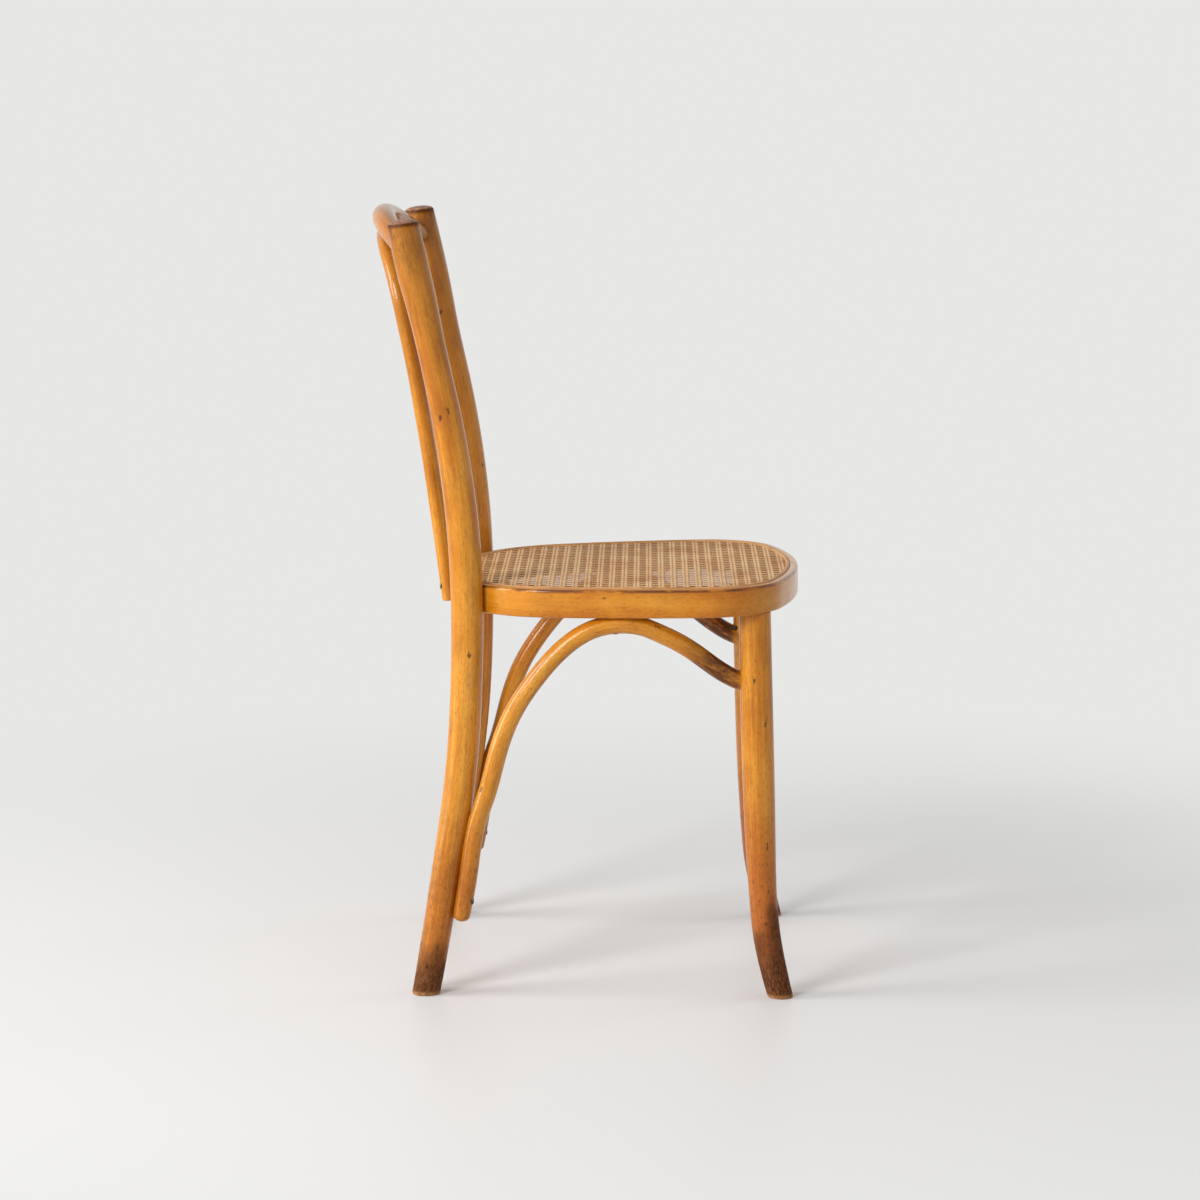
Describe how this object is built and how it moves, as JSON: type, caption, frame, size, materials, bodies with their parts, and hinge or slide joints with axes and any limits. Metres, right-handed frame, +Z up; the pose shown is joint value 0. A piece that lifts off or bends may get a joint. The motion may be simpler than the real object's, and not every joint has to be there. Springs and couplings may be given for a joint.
{
  "type": "bentwood bistro chair",
  "caption": "Bentwood side chair: steam-bent back posts, crest rail and inner bow, rounded seat ring with woven cane, arched side braces, unpadded.",
  "frame": {"origin": "on the floor, at the centre of the chair's footprint box: halfway between the left and right sides and between the crest rail's back and the seat ring's front", "axes": "+Z up, -Y the way the chair faces, +X to the side; x = 0 is the plane of symmetry"},
  "size_m": [0.4192, 0.494, 0.8885],
  "materials": {
    "beech": "glossy lacquer",
    "cane": "satin",
    "steel": "aged"
  },
  "bodies": {
    "root": {"seat_ring": "beech", "cane_panel": "cane", "cane_spline": "cane", "rear_post_right": "beech", "rear_post_left": "beech", "crest_rail": "beech", "inner_bow": "beech", "front_leg_right": "beech", "front_leg_left": "beech", "side_brace_right": "beech", "side_brace_left": "beech", "brace_screws": "steel", "bow_screws": "steel", "coach_bolts": "steel", "coach_washers": "steel"}
  },
  "joints": []
}
